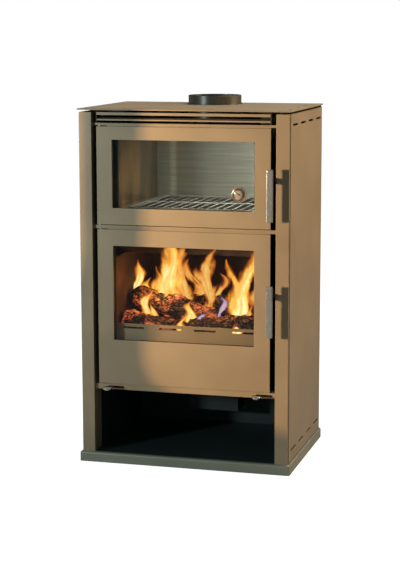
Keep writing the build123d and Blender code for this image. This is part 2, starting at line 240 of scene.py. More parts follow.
def spread(tree, source, low, high):
    """The value between 0 and 1 moved to between low and high."""
    return add(tree, "MapRange", [("Value", source)], To_Min=low, To_Max=high).outputs["Result"]


def between(tree, source, start, end, kind="LINEAR"):
    """0 where the source is at start, 1 where it is at end, and held at 0 and 1 outside."""
    made = add(tree, "MapRange", [("Value", source)], From_Min=start, From_Max=end, interpolation_type=kind)
    return made.outputs["Result"]


def reckon(tree, operation, first, second=0.0):
    """One step of arithmetic on sources or numbers."""
    made = add(tree, "Math", operation=operation)
    for socket, value in zip(made.inputs, (first, second)):
        feed(tree, socket, value)
    return made.outputs["Value"]


def times(tree, first, second):
    """Product of two values."""
    return reckon(tree, "MULTIPLY", first, second)


def plus(tree, first, second):
    """Sum of two values."""
    return reckon(tree, "ADD", first, second)


FIRST_COLOUR, SECOND_COLOUR, MIXED_COLOUR = 6, 7, 2      # places of the Mix node's colour sockets


def blend(tree, share, first, second):
    """The first colour where the share is 0, the second where it is 1."""
    made = add(tree, "Mix", [(0, share)], data_type="RGBA")
    feed(tree, made.inputs[FIRST_COLOUR], first)
    feed(tree, made.inputs[SECOND_COLOUR], second)
    return made.outputs[MIXED_COLOUR]


print("pattern helpers are ready")

# %% [markdown]
# ## Bump and wear
# Few real finishes are one flat colour. The common recipe here is one slow noise that moves both the colour
# and the roughness a little, and a finer one that presses a tiny relief into the light.


# %% Bump and wear
def bump(tree, shader, height, distance):
    """Bump of the given depth in metres."""
    made = add(tree, "Bump", [("Height", height)], Distance=distance)
    tree.links.new(made.outputs["Normal"], shader.inputs["Normal"])


def wear(name, dark, light, roughness, metallic, scale, depth=0.0, stretch=(1, 1, 1)):
    """Common finish: two shades and a band of roughness laid out by one noise, with a fine bump."""
    material, tree, shader = finish(name, light, sum(roughness) / 2, metallic)
    cloud = noise(tree, scale, 4.0, stretch)
    tree.links.new(ramp(tree, cloud, (0.3, dark), (0.7, light)), shader.inputs["Base Color"])
    tree.links.new(spread(tree, cloud, *roughness), shader.inputs["Roughness"])
    if depth:
        bump(tree, shader, noise(tree, scale * 8, 2.0, stretch), depth)
    return material


print("the wear recipe is ready")

# %% [markdown]
# ## Stove paint
# The casing is sprayed with heat-proof metallic paint: bronze-grey, satin, with fine flakes that catch light.
# A flat colour would look like plastic. Here a fine noise stands for the flakes, a coarse one lets the
# colour and the sheen drift a little across each panel, and a tiny bump gives the orange-peel of spray.


# %% Metallic paint
def stove_paint(name, dark, light):
    """Satin paint: two shades laid out by a sum of slow clouds and fine flakes."""
    material, tree, shader = finish(name, light, 0.42, 0.2)
    cloud = noise(tree, 6.0)
    flake = noise(tree, 2600.0, 1.0)
    shade = plus(tree, times(tree, cloud, 0.65), times(tree, flake, 0.35))
    tree.links.new(ramp(tree, shade, (0.35, dark), (0.65, light)), shader.inputs["Base Color"])
    tree.links.new(spread(tree, shade, 0.36, 0.50), shader.inputs["Roughness"])
    bump(tree, shader, noise(tree, 900.0, 2.0), 0.00003)
    return material


bronze_paint = stove_paint("bronze_stove_paint", (0.370, 0.262, 0.150), (0.450, 0.322, 0.188))
plinth_paint = stove_paint("plinth_paint", (0.330, 0.290, 0.205), (0.410, 0.360, 0.256))
print("paints:", bronze_paint.name, plinth_paint.name)

# %% [markdown]
# ## Floor of the log store
# The top of the plinth is the floor of the log store. Behind the painted front edge it carries painted shade,
# a dark teal colour for the shade inside the store. One part can have two finishes by position: the height
# picks its top face, and the depth picks what lies behind the edge.


# %% Store floor
def paint_store_shade(material, level, edge, painted_shade):
    """The painted shade colour where the surface is above the level and behind the edge, the paint elsewhere.
    """
    tree = material.node_tree
    shader = tree.nodes["Principled BSDF"]
    spot = parts_of(tree)
    inside = times(tree, reckon(tree, "GREATER_THAN", spot["Z"], level),
                   reckon(tree, "GREATER_THAN", spot["Y"], edge))
    paint = shader.inputs["Base Color"].links[0].from_socket
    tree.links.new(blend(tree, inside, paint, painted_shade), shader.inputs["Base Color"])


SKIN = 0.0002                    # how far under a face a level is set, so that the whole face is past it
PAINTED_EDGE = 0.006             # depth of the painted edge
store_floor = float(box("plinth")[1][2])
# Painted shade: the floor of the log store behind its front edge gets a dark teal colour for the shade inside
# the store.
paint_store_shade(plinth_paint, store_floor - SKIN, FRONT + PAINTED_EDGE, (0.040, 0.058, 0.052))
print("the store floor is at Z =", round(store_floor, 4))

# %% [markdown]
# ## Steel, cast iron and plated metal
# Black heat paint covers the frames behind the doors, dark primer the inside of the casing. The handle bars
# are brushed stainless, so their noise is stretched into long scratches. Chrome and zinc are smoother.

# %% Metals
black_steel = wear("black_heat_paint", (0.010, 0.010, 0.010), (0.022, 0.021, 0.020), (0.45, 0.62), 0.2, 40,
                   0.00005)
collar_enamel = wear("collar_enamel", (0.070, 0.062, 0.042), (0.105, 0.094, 0.064), (0.30, 0.42), 0.3, 30,
                     0.00003)
inner_steel = wear("dark_primer", (0.018, 0.024, 0.022), (0.034, 0.042, 0.038), (0.5, 0.7), 0.3, 9, 0.00004)
cast_grate = wear("cast_iron", (0.015, 0.013, 0.012), (0.040, 0.036, 0.032), (0.6, 0.85), 0.6, 60, 0.0003)
zinc_steel = wear("zinc_plate", (0.35, 0.34, 0.31), (0.50, 0.50, 0.48), (0.28, 0.42), 1.0, 120)
chrome_wire = wear("chrome_wire", (0.40, 0.40, 0.37), (0.58, 0.58, 0.55), (0.12, 0.22), 0.65, 90)
chrome_knob = wear("polished_chrome", (0.70, 0.70, 0.70), (0.82, 0.82, 0.82), (0.04, 0.10), 1.0, 50)
copper_case = wear("copper_case", (0.78, 0.50, 0.34), (0.90, 0.66, 0.48), (0.14, 0.26), 0.8, 200)
ALONG_THE_BAR = (40, 40, 1)      # noise squeezed across the bar, so that it runs in scratches along it
stainless_bar = wear("brushed_bar", (0.58, 0.57, 0.55), (0.72, 0.70, 0.67), (0.20, 0.32), 0.85, 40,
                     0.00002, ALONG_THE_BAR)
print("metals ready")

# %% [markdown]
# ## Oven liner
# The oven is a box of brushed stainless sheet. Painted reflections give it soft upright streaks near its
# corner and a warm tint on one side wall, and the floor is darker. All three are painted by position.


# %% Liner finish
# Painted reflection: bright and dark upright streaks near the back wall's left corner, and a brighter right
# side.
PAINTED_REFLECTION_STREAKS = ((0.0, 0.70), (0.10, 0.72), (0.122, 0.98), (0.148, 0.98), (0.175, 0.58), (0.28, 0.58),
                  (0.42, 0.84), (0.95, 1.0))             # share of the width from the left, brightness


def liner_finish(half_width, floor_height):
    """Brushed grain, times off_floor (0 on the floor, 1 above it), times a band of painted reflection across
    the width.
    """
    material, tree, shader = finish("brushed_liner", (0.42, 0.42, 0.36), 0.16, 0.7)
    spot = parts_of(tree)
    off_floor = between(tree, spot["Z"], floor_height + 0.002, floor_height + 0.012)
    grain = noise(tree, 5.0, 4.0, (1, 1, 30))
    across = between(tree, spot["X"], -0.2, 0.2)
    band = ramp(tree, across, *((position, (grey,) * 3) for position, grey in PAINTED_REFLECTION_STREAKS))
    shade = times(tree, times(tree, times(tree, off_floor, plus(tree, times(tree, grain, 0.5), 0.5)), band), 1.25)
    steel = ramp(tree, shade, (0.0, (0.035, 0.033, 0.028)), (0.55, (0.36, 0.36, 0.29)),
                 (0.85, (0.56, 0.56, 0.48)), (1.0, (0.74, 0.74, 0.65)))
    # Painted reflection: the left wall gets a warm orange tint, laid out by a noise.
    left_wall = times(tree, reckon(tree, "LESS_THAN", spot["X"], -half_width + 0.0015), off_floor)
    warm_reflection = ramp(tree, noise(tree, 9.0, 3.0, (1, 1.6, 0.5)), (0.44, (0.17, 0.15, 0.11)),
                 (0.56, (0.36, 0.23, 0.11)), (0.66, (0.55, 0.30, 0.12)))
    tree.links.new(blend(tree, left_wall, steel, warm_reflection), shader.inputs["Base Color"])
    tree.links.new(spread(tree, off_floor, 0.45, 0.15), shader.inputs["Roughness"])
    return material


SHEET = 0.002                    # thickness of the liner
liner_low, liner_high = box("oven_liner")
oven_half = float(liner_high[0]) - SHEET
stainless_liner = liner_finish(oven_half, float(liner_low[2]))
print("the oven is", round(2 * oven_half, 3), "m wide inside")

# %% [markdown]
# ## Fire bricks
# The firebox is lined with pressed bricks. Heat and soot stain them from red-brown to black. One noise lays
# out the stain, and a finer one roughens the pressed face.


# %% Brick finish
def brick_finish():
    """Three shades of soot laid out by one noise, over a rough bump."""
    material, tree, shader = finish("sooty_fire_brick", (0.10, 0.05, 0.03), 0.9)
    stain = noise(tree, 14.0, 5.0)
    colour = ramp(tree, stain, (0.30, (0.014, 0.008, 0.005)), (0.55, (0.045, 0.024, 0.013)),
                  (0.75, (0.085, 0.046, 0.026)))
    tree.links.new(colour, shader.inputs["Base Color"])
    bump(tree, shader, noise(tree, 160.0, 5.0), 0.0008)
    return material


fire_brick = brick_finish()
print("bricks:", fire_brick.name)

# %% [markdown]
# ## Glass
# The panes are thin ceramic glass. A thin pane doesn't bend what is behind it, so a Transparent shader shows
# the fire and a Glossy one adds the reflection, more of it at a glancing angle as Fresnel says.


# %% Pane
def pane(name, tint, haze, reflection):
    """Clear and glossy mixed; the glossy share is a part of Fresnel plus a thin uneven film."""
    material, tree = bare(name)
    clear = add(tree, "BsdfTransparent", Color=(*tint, 1))
    gloss = add(tree, "BsdfGlossy", Color=(1, 1, 1, 1), Roughness=haze)
    fresnel = add(tree, "Fresnel", IOR=1.5).outputs["Fac"]
    film = spread(tree, noise(tree, 8.0), reflection * 0.8, reflection * 1.2)
    share = plus(tree, times(tree, fresnel, 0.7), film)
    to_surface(tree, add(tree, "MixShader", [(0, share), (1, clear.outputs[0]), (2, gloss.outputs[0])]))
    return material


clear_glass = pane("ceramic_glass", (0.96, 0.96, 0.94), 0.03, 0.005)
print("glass:", clear_glass.name)

# %% [markdown]
# ## Paint the frame
# Each part of the steel frame keeps its mesh and gets its finish here, by the name of its material slot.

# %% Finishes on the frame
finishes = {
    "bronze_paint": bronze_paint, "plinth_paint": plinth_paint, "black_steel": black_steel,
    "inner_steel": inner_steel, "stainless_liner": stainless_liner, "stainless_bar": stainless_bar,
    "zinc_steel": zinc_steel, "chrome_wire": chrome_wire, "chrome_knob": chrome_knob,
    "fire_brick": fire_brick, "cast_grate": cast_grate, "clear_glass": clear_glass,
    "rope_gasket": black_steel, "brass_case": copper_case, "dial_face": copper_case,
}
slot_of = {part["node"]: part["material_slot"] for part in frame["record"]["subparts"]}
for name, part in nodes.items():
    part.data.materials.clear()
    part.data.materials.append(finishes[slot_of[name]])
nodes["flue_collar"].data.materials[0] = collar_enamel
# Painted shade: the casing brackets get black heat paint in place of zinc, so the gaps behind the louvres
# stay dark.
nodes["casing_brackets"].data.materials[0] = black_steel
print("finishes on", len(nodes), "parts")

# %% [markdown]
# ## Burning logs
# The logs are split wood, charred black, with the fire alive in the cracks between the blocks of char.
# A log is a tube whose radius swells and dips by a few waves around and along it. Voronoi cell borders make
# the cracks: they glow where a slow noise says the log is hot, and pale ash covers the cool blocks.


# %% Char finish
def char_finish(name, heat):
    """Charred wood; a heat near 0 leaves a few glowing cracks, a heat near 1 makes most of them glow."""
    material, tree, shader = finish(name, (0.02, 0.015, 0.012), 0.85)
    ash = noise(tree, 55.0, 5.0)
    colour = ramp(tree, ash, (0.36, (0.020, 0.014, 0.011)), (0.56, (0.110, 0.058, 0.038)),
                  (0.74, (0.330, 0.230, 0.180)))
    where = place(tree, (0.5, 1, 1))
    swirl = add(tree, "TexNoise", [("Vector", where)], Scale=70.0, Detail=2.0).outputs["Color"]
    warped = add(tree, "VectorMath", [(0, swirl)], operation="SCALE", Scale=0.012).outputs["Vector"]
    warped = add(tree, "VectorMath", [(0, where), (1, warped)], operation="ADD").outputs["Vector"]
    cells = add(tree, "TexVoronoi", [("Vector", warped)], feature="DISTANCE_TO_EDGE", Scale=105.0)
    border = cells.outputs["Distance"]
    block = between(tree, border, 0.03, 0.13, "SMOOTHSTEP")
    tree.links.new(blend(tree, block, (0.004, 0.003, 0.003), colour), shader.inputs["Base Color"])
    crack = between(tree, border, 0.09, 0.0, "SMOOTHSTEP")
    sparks = between(tree, noise(tree, 48.0, 2.0), 0.48, 0.62)
    hot = between(tree, noise(tree, 22.0), 0.66 - 0.2 * heat, 0.84 - 0.2 * heat, "SMOOTHSTEP")
    glow = times(tree, hot, plus(tree, times(tree, crack, sparks), times(tree, block, 0.36)))
    light = ramp(tree, glow, (0.05, (0.0, 0.0, 0.0)), (0.25, (0.34, 0.060, 0.020)), (0.6, (0.95, 0.24, 0.06)),
                 (0.9, (1.0, 0.60, 0.24)))
    tree.links.new(light, shader.inputs["Emission Color"])
    shader.inputs["Emission Strength"].default_value = 1.25
    bump(tree, shader, between(tree, border, 0.0, 0.2), 0.003)
    return material


print("char finish ready")

# %% [markdown]
# ## Shape of a log
# A split log isn't round: its radius swells and dips. Five waves around the log and along it, each smaller
# and quicker than the last, give it edges, knots and checks. Seeded random phases make every log different.


# %% Logs
LAP = 6.28                       # about a full turn, in radians
LUMPS = ((2, 1.5, 0.10), (3, 3.0, 0.07), (5, 7.0, 0.04), (9, 16.0, 0.025), (14, 31.0, 0.015))


def log(name, start, end, radius, heat, seed):
    """Log: a tube from start to end, bowed a little. Its radius is a sum of waves in the angle and the
    length: LUMPS gives each wave's count around, its runs along and its size as a share of the radius."""
    rng = np.random.default_rng(seed)
    rows, sides = 90, 72
    t = np.linspace(0, 1, rows)[:, None]
    angle = np.linspace(0, 2 * np.pi, sides, endpoint=False)[None]
    lumps = np.zeros((rows, sides))
    for turns, runs, size in LUMPS:
        swell = np.sin(turns * angle + runs * LAP * t + rng.uniform(0, LAP, 1))
        lumps += size * swell * np.cos(runs * 4.1 * t + rng.uniform(0, LAP, 1))
    ends = np.minimum(1, 0.55 + 9 * np.minimum(t, 1 - t)) ** 0.7
    bend = np.array([0, 0.2, 1.0]) * radius * 0.5 * np.sin(np.pi * t) ** 2
    path = np.array(start) + (np.array(end) - np.array(start)) * t + bend * rng.uniform(-0.5, 0.7)
    piece = tube(name, path, radius * ends * (1 + lumps), sides, reference=(0.0, 0.3, 1.0))
    return on_body(piece, "stove", char_finish(name + "_char", heat))


logs = [
    log("log_back_left", (-0.196, FRONT + 0.150, 0.462), (0.070, FRONT + 0.135, 0.398), 0.031, 1.0, 1),
    log("log_front_left", (-0.200, FRONT + 0.085, 0.408), (-0.040, FRONT + 0.078, 0.376), 0.028, 0.9, 2),
    log("log_front_right", (-0.012, FRONT + 0.088, 0.378), (0.188, FRONT + 0.100, 0.406), 0.030, 0.45, 3),
    log("log_back_right", (-0.060, FRONT + 0.235, 0.430), (0.150, FRONT + 0.190, 0.402), 0.034, 0.25, 4),
    log("log_far", (-0.170, FRONT + 0.290, 0.385), (0.180, FRONT + 0.300, 0.388), 0.036, 0.6, 5),
    log("log_under", (-0.150, FRONT + 0.160, 0.378), (0.160, FRONT + 0.175, 0.376), 0.025, 0.8, 6),
]
print("logs:", len(logs))

# %% [markdown]
# ## Ember bed
# Under the logs a bed of embers lies on the hearth: a field of heights, a sum of waves with the edges brought
# down to the brick. It carries the same char finish, hotter.


# %% Embers
def ember_bed(hearth, half_x=0.2, near=0.045, far=0.365):
    """Height over a rectangle of the hearth: waves of four sizes in random directions, lowered at the rim."""
    rng = np.random.default_rng(11)
    x, y = np.meshgrid(np.linspace(-half_x, half_x, 170), np.linspace(FRONT + near, FRONT + far, 140))
    height = np.zeros_like(x)
    for scale, size in ((55, 0.35), (130, 0.3), (260, 0.2), (420, 0.12)):
        for _ in range(5):
            heading = rng.uniform(0, np.pi)
            wave = scale * (x * np.cos(heading) + y * np.sin(heading)) + rng.uniform(0, LAP)
            height += size * np.sin(wave) / 5
    half_y, middle_y = (far - near) / 2, FRONT + (far + near) / 2
    rim = np.clip(np.minimum(half_x - np.abs(x), half_y - np.abs(y - middle_y)) / 0.04, 0, 1)
    z = hearth + 0.0006 + rim ** 0.5 * (0.012 + 0.013 * height)
    return surface("ember_bed", np.stack([x, y, z], axis=-1))


hearth = float(box("hearth_bricks")[1][2])
on_body(ember_bed(hearth), "stove", char_finish("ember_glow", 1.15))
print("the ember bed lies on the hearth at Z =", round(hearth, 4))

# %% [markdown]
# ## Flames
# A flame is gas, so it has no skin: only light that fades at its edges. Here each tongue is a pair of crossed
# leaf-shaped ribbons. The UV map runs across and up the leaf, and heat falls from the middle line to the
# edges, torn by a stretched noise. Heat picks the transparency and the colour, from pale yellow down to red,
# or to violet for the few tongues of burning gas.


# %% Flame finish
FLAME_STEPS = (0.12, 0.38, 0.62, 0.90)                   # heats that give a flame's four colours


def flame_finish(name, strength, low, grain, colours):
    """Heat is high on the middle line and torn by noise, fades to the tip and the foot, and picks the colour;
    below low the flame is clear."""
    material, tree = bare(name)
    chart = parts_of(tree, "UV")
    across, up = chart["X"], chart["Y"]
    off_line = reckon(tree, "ABSOLUTE", reckon(tree, "SUBTRACT", times(tree, across, 2.0), 1.0))
    line = reckon(tree, "SUBTRACT", 1.0, off_line)
    torn = reckon(tree, "SUBTRACT", noise(tree, grain, 5.0, (1, 1, 0.45)), 0.53)
    heat = plus(tree, times(tree, line, 1.15), times(tree, torn, 2.3))
    fade = between(tree, up, 1.0, 0.45, "SMOOTHSTEP")
    foot = between(tree, up, 0.0, 0.14, "SMOOTHSTEP")
    heat = times(tree, times(tree, heat, foot), plus(tree, times(tree, fade, 0.55), 0.32))
    colour = ramp(tree, heat, *zip(FLAME_STEPS, colours))
    emit = add(tree, "Emission", [("Color", colour)], Strength=strength)
    clear = add(tree, "BsdfTransparent")
    share = between(tree, heat, low, low + 0.6, "SMOOTHSTEP")
    to_surface(tree, add(tree, "MixShader", [(0, share), (1, clear.outputs[0]), (2, emit.outputs[0])]))
    return material


YELLOW = ((0.70, 0.10, 0.02), (0.90, 0.28, 0.02), (1.0, 0.60, 0.11), (1.0, 0.88, 0.45))
ORANGE = ((0.55, 0.06, 0.03), (0.95, 0.22, 0.03), (1.0, 0.42, 0.06), (1.0, 0.66, 0.20))
VIOLET = ((0.10, 0.05, 0.40), (0.20, 0.14, 0.75), (0.55, 0.35, 0.85), (1.0, 0.75, 0.60))
bright = flame_finish("flame_bright", 1.35, 0.10, 30.0, YELLOW)
soft = flame_finish("flame_soft", 1.0, 0.18, 37.0, ORANGE)
violet = flame_finish("flame_violet", 0.8, 0.25, 33.0, VIOLET)
print("flame finishes:", bright.name, soft.name, violet.name)

# %% [markdown]
# ## Shape of a flame
# A tongue leans from its foot to its tip, sways on the way and swells low down. Each ribbon is one small
# grid. The places are listed one by one: tall tongues over the logs and small ones licking round them. The
# tips of the tall ones are kept near the glass.


# %% Flame tongues
def flame(name, base, tip, width, sway, turn, material):
    """Leaf: a middle line from base to tip that sways like a sine, and a half width that swells, then closes.
    The leaf is bowed across its width and turned about the upright by an angle."""
    rows, columns = 48, 15
    v = np.linspace(0, 1, rows)[:, None]
    u = np.linspace(-1, 1, columns)[None]
    base, tip = np.array(base), np.array(tip)
    half = width * np.sin(np.pi * np.clip(v, 0.01, 0.995) ** 0.62) ** 0.8
    bow = 0.35 * half * (1 - u ** 2)
    shift = 1.7 * sway * np.sin(2.2 * np.pi * v + 40 * base[0]) * (0.25 + v)
    half = half * (1 + 0.28 * np.sin(3.4 * np.pi * v + 90 * base[0]))
    x = base[0] + (tip[0] - base[0]) * v ** 1.2 + shift + u * half * np.cos(turn) + bow * np.sin(turn)
    y = base[1] + (tip[1] - base[1]) * v + u * half * np.sin(turn) - bow * np.cos(turn)
    z = base[2] + (tip[2] - base[2]) * v + 0 * u
    piece = surface(name, np.stack([x, y, z], axis=-1), uv=True)
    return on_body(piece, "stove", material)


# foot X, depth behind the doors' front, foot Z, tip X, tip Z, half width, sway, finish
tongues = (
    (-0.205, 0.200, 0.450, -0.184, 0.560, 0.026, 0.006, bright),
    (-0.212, 0.150, 0.420, -0.222, 0.470, 0.016, 0.004, violet),
    (-0.165, 0.165, 0.430, -0.150, 0.512, 0.034, 0.005, bright),
    (-0.128, 0.170, 0.425, -0.120, 0.545, 0.036, -0.006, bright),
    (-0.078, 0.180, 0.405, -0.085, 0.664, 0.062, 0.012, bright),
    (-0.060, 0.200, 0.420, -0.024, 0.655, 0.040, -0.012, soft),
    (-0.012, 0.230, 0.405, -0.050, 0.570, 0.034, 0.012, soft),
    (0.020, 0.170, 0.410, 0.064, 0.650, 0.036, 0.012, soft),
    (0.060, 0.215, 0.400, 0.034, 0.530, 0.030, 0.014, soft),
    (0.118, 0.160, 0.390, 0.094, 0.575, 0.040, 0.008, bright),
    (0.136, 0.145, 0.380, 0.168, 0.640, 0.044, -0.010, bright),
    (0.166, 0.190, 0.390, 0.176, 0.520, 0.026, 0.012, soft),
    (0.086, 0.100, 0.400, 0.074, 0.490, 0.014, 0.010, violet),
    (-0.010, 0.100, 0.392, -0.004, 0.465, 0.024, 0.006, bright),
    (-0.030, 0.070, 0.365, -0.024, 0.430, 0.020, -0.005, bright),
    (-0.136, 0.085, 0.402, -0.126, 0.492, 0.022, 0.006, bright),
    (-0.108, 0.075, 0.392, -0.114, 0.456, 0.018, -0.004, bright),
    (0.134, 0.070, 0.368, 0.140, 0.436, 0.022, 0.004, bright),
    (0.030, 0.085, 0.392, 0.040, 0.440, 0.018, 0.004, violet),
    (0.176, 0.090, 0.390, 0.168, 0.462, 0.020, 0.004, soft),
)
TALL, UNDER_GLASS = 0.6, 0.098   # height that makes a tongue tall, and the depth its tip is kept within
for number, (x0, depth, z0, x1, z1, width, sway, material) in enumerate(tongues):
    tip_depth = min(depth, UNDER_GLASS) if z1 > TALL else depth + 0.01
    foot, tip = (x0, FRONT + depth, z0), (x1, FRONT + tip_depth, z1)
    flame(f"flame_{number}_wide", foot, tip, width, sway, 0.25, material)
    flame(f"flame_{number}_cross", foot, tip, width * 0.8, sway, 1.25, material)
print("flame tongues:", len(tongues))

# %% [markdown]
# ## Rope seals
# Each door closes on a braided glass-fibre rope. The path is a rectangle with round corners. Around it the
# radius follows a helix of three strands, so the braid is in the shape and catches the light.


# %% Rope seals
def rope_seal(name, body, hidden):
    """Rope: a path of four straight runs and four quarter circles along the middle of the plain gasket, with
    a radius that winds around it: three bumps around the rope, carried round once in every lay."""
    corner, samples, sides, radius, lay, to_middle = 0.014, 1400, 14, 0.0052, 0.013, 0.005
    groove_low, groove_high = box(hidden)
    half_x = float(groove_high[0]) - to_middle
    low, high = float(groove_low[2]) + to_middle, float(groove_high[2]) - to_middle
    centre_z, half_z = (low + high) / 2, (high - low) / 2
    turn = np.linspace(0, 2 * np.pi, samples, endpoint=False)
    reach = 1 / np.maximum(np.abs(np.cos(turn)) / half_x, np.abs(np.sin(turn)) / half_z)
    x, z = reach * np.cos(turn), reach * np.sin(turn)
    inner_x, inner_z = half_x - corner, half_z - corner
    over_x, over_z = np.maximum(np.abs(x) - inner_x, 0), np.maximum(np.abs(z) - inner_z, 0)
    pull = np.where((over_x > 0) & (over_z > 0), corner / np.maximum(np.hypot(over_x, over_z), 1e-9), 1)
    x = np.sign(x) * (np.minimum(np.abs(x), inner_x) + over_x * np.minimum(pull, 1))
    z = np.sign(z) * (np.minimum(np.abs(z), inner_z) + over_z * np.minimum(pull, 1))
    path = np.stack([x, np.full(samples, FRONT + 0.0246), centre_z + z], axis=-1)
    length = np.concatenate([[0], np.cumsum(np.linalg.norm(np.diff(path, axis=0), axis=1))])
    laps = round(length[-1] / lay)
    share = length / (length[-1] + np.linalg.norm(path[0] - path[-1]))
    winding = np.linspace(0, 2 * np.pi, sides, endpoint=False)[None] + 2 * np.pi * laps * share[:, None]
    wound = radius * (0.90 + 0.10 * np.abs(np.cos(1.5 * winding)))
    print(name, "is", round(float(length[-1]), 3), "m of rope")
    piece = tube(name, path, wound, sides, closed=True)
    return on_body(piece, body, rope_finish, "rope_gasket", hidden)


rope_finish = wear("glass_fibre_rope", (0.045, 0.042, 0.038), (0.110, 0.104, 0.094), (0.85, 0.95), 0.0, 350,
                   0.0002)
rope_seal("upper_rope_seal", "upper_door", "upper_door_gasket")
rope_seal("lower_rope_seal", "lower_door", "lower_door_gasket")

# %% [markdown]
# ## Flange of the oven liner
# The stainless liner is folded outward around its mouth. The fold covers the edge of the black face frame.
# Four corner points on each of four rings make a flat frame with a real thickness.


# %% Liner flange
def mouth_frame(name, inner, outer, low, high, near, far):
    """Flat frame: the inner and outer rectangles at two depths, joined as rings."""
    rings, fold = [], outer - inner
    for half, grow, depth in ((inner, 0, far), (inner, 0, near), (outer, fold, near), (outer, fold, far)):
        x = np.array([-half, half, half, -half])
        z = np.array([low - grow, low - grow, high + grow, high + grow])
        rings.append(np.stack([x, np.full(4, depth), z], axis=-1))
    piece = surface(name, np.array(rings), around=True, along=True)
    piece.data.shade_flat()
    return piece


FOLD = 0.013                     # width of the fold
CLEAR = 0.0001                   # gap that keeps a piece off the steel behind it
on_frame = float(box("front_frame")[0][1]) - CLEAR
flange = mouth_frame("oven_liner_flange", oven_half, oven_half + FOLD, 0.721, float(liner_high[2]) - SHEET,
                     on_frame - 0.0007, on_frame)
on_body(flange, "stove", stainless_liner, "stainless_liner")
print("the liner's flange is", FOLD, "m wide")

# %% [markdown]
# ## Thermometer face
# The oven thermometer has a copper ring around a dial with a scale, a needle and a domed glass. The scale is
# drawn by the angle around the dial, in two rings of ticks: forty short ones and twelve longer ones. No paint
# layer or picture is needed, and the ticks stay crisp at any distance.


# %% Dial finish
dial_low, dial_high = box("thermometer_dial")
DIAL = (dial_low + dial_high) / 2
DIAL[1] = dial_low[1] - CLEAR
TICKS = ((40, 0.0138, 0.22), (12, 0.0112, 0.34))         # count, inner radius, share of the step that is ink
TICKS_END = 0.0152
OPEN_BELOW = 2.35                # angle from the top, in radians, at which the scale ends on each side


def dial_finish():
    """Ticks from the angle in the dial's plane, kept to a ring near the rim and left out at the bottom."""
    material, tree, shader = finish("dial_face", (0.80, 0.58, 0.42), 0.35, 0.3)
    spot = parts_of(tree)
    side = reckon(tree, "SUBTRACT", spot["X"], float(DIAL[0]))
    up = reckon(tree, "SUBTRACT", spot["Z"], float(DIAL[2]))
    angle = reckon(tree, "ARCTAN2", side, up)
    radius = reckon(tree, "SQRT", plus(tree, times(tree, side, side), times(tree, up, up)))
    spans = []
    for count, inner, part in TICKS:
        step = reckon(tree, "FRACT", plus(tree, times(tree, angle, count / (2 * math.pi)), 100.5))
        off_tick = reckon(tree, "ABSOLUTE", reckon(tree, "SUBTRACT", step, 0.5))
        mark = reckon(tree, "LESS_THAN", off_tick, part / 2)
        outside = reckon(tree, "GREATER_THAN", radius, inner)
        inside = reckon(tree, "LESS_THAN", radius, TICKS_END)
        spans.append(times(tree, mark, times(tree, outside, inside)))
    upper = reckon(tree, "LESS_THAN", reckon(tree, "ABSOLUTE", angle), OPEN_BELOW)
    drawn = times(tree, reckon(tree, "MAXIMUM", spans[0], spans[1]), upper)
    face = ramp(tree, drawn, (0.2, (0.85, 0.66, 0.50)), (0.8, (0.02, 0.015, 0.012)))
    tree.links.new(face, shader.inputs["Base Color"])
    return material


print("the dial is at", [round(float(value), 4) for value in DIAL])

# %% [markdown]
# ## Turned shapes
# The scale's disc, the dome, the hub and the screws are all shapes that a lathe would make: a profile spun
# around an axis. The needle is a thin tapered tube.


# %% Thermometer pieces
def turned(name, profile, centre, sides=48):
    """Turned shape: a profile of (radius, depth) spun around the Y axis through the centre."""
    angle = np.linspace(0, 2 * np.pi, sides, endpoint=False)
    radius, depth = profile[:, :1], profile[:, 1:]
    points = np.stack([radius * np.cos(angle), depth + 0 * angle, radius * np.sin(angle)], axis=-1)
    return surface(name, centre + points, around=True, capped=True)


dial_profile = np.array([[0.0165, 0.0009], [0.0165, 0.0], [0.0160, -0.0001], [0.008, -0.0001]])
on_body(turned("thermometer_scale", dial_profile, DIAL), "upper_door", dial_finish(), "dial_face")
arc = np.linspace(0, 0.49 * np.pi, 12)
dome_profile = np.stack([0.0172 * np.cos(arc), -0.0012 - 0.0042 * np.sin(arc)], axis=-1)
dome_glass = pane("dome_glass", (1, 1, 1), 0.06, 0.10)
on_body(turned("thermometer_dome", dome_profile, DIAL), "upper_door", dome_glass, "clear_glass")
NEEDLE_ANGLE = math.radians(-52)                         # from the top, towards the left
reach = np.linspace(-0.004, 0.0125, 14)
across, up = reach * math.sin(NEEDLE_ANGLE), reach * math.cos(NEEDLE_ANGLE)
needle_path = DIAL + np.stack([across, np.full(len(reach), -0.0009), up], axis=-1)
needle_radius = np.linspace(0.0011, 0.0003, len(reach))[:, None]
needle_black = finish("needle_black", (0.015, 0.012, 0.01), 0.5)[0]
needle = tube("thermometer_needle", needle_path, needle_radius, 8)
on_body(needle, "upper_door", needle_black, "dial_face")
hub_profile = np.array([[0.0022, 0.0], [0.0022, -0.0014], [0.0016, -0.0020]])
on_body(turned("thermometer_hub", hub_profile, DIAL, 24), "upper_door", needle_black, "dial_face")
print("thermometer face ready")

# %% [markdown]
# ## Screws in the door frames
# Pan-head screws hold the frame inside each door. A turned profile gives the head, and a dimple the drive.


# %% Screws
def screw(name, x, z, body):
    """Pan head seen from behind the door: a low dome with a recess in its middle."""
    profile = np.array([[0.0042, 0.0], [0.0042, 0.0010], [0.0034, 0.0020], [0.0020, 0.0024], [0.0017, 0.0023],
                        [0.0012, 0.0010]])
    back_face = float(box(body + "_frame")[1][1])
    piece = turned(name, profile, np.array([x, back_face - CLEAR, z]), 20)
    return on_body(piece, body, zinc_steel, "zinc_steel")


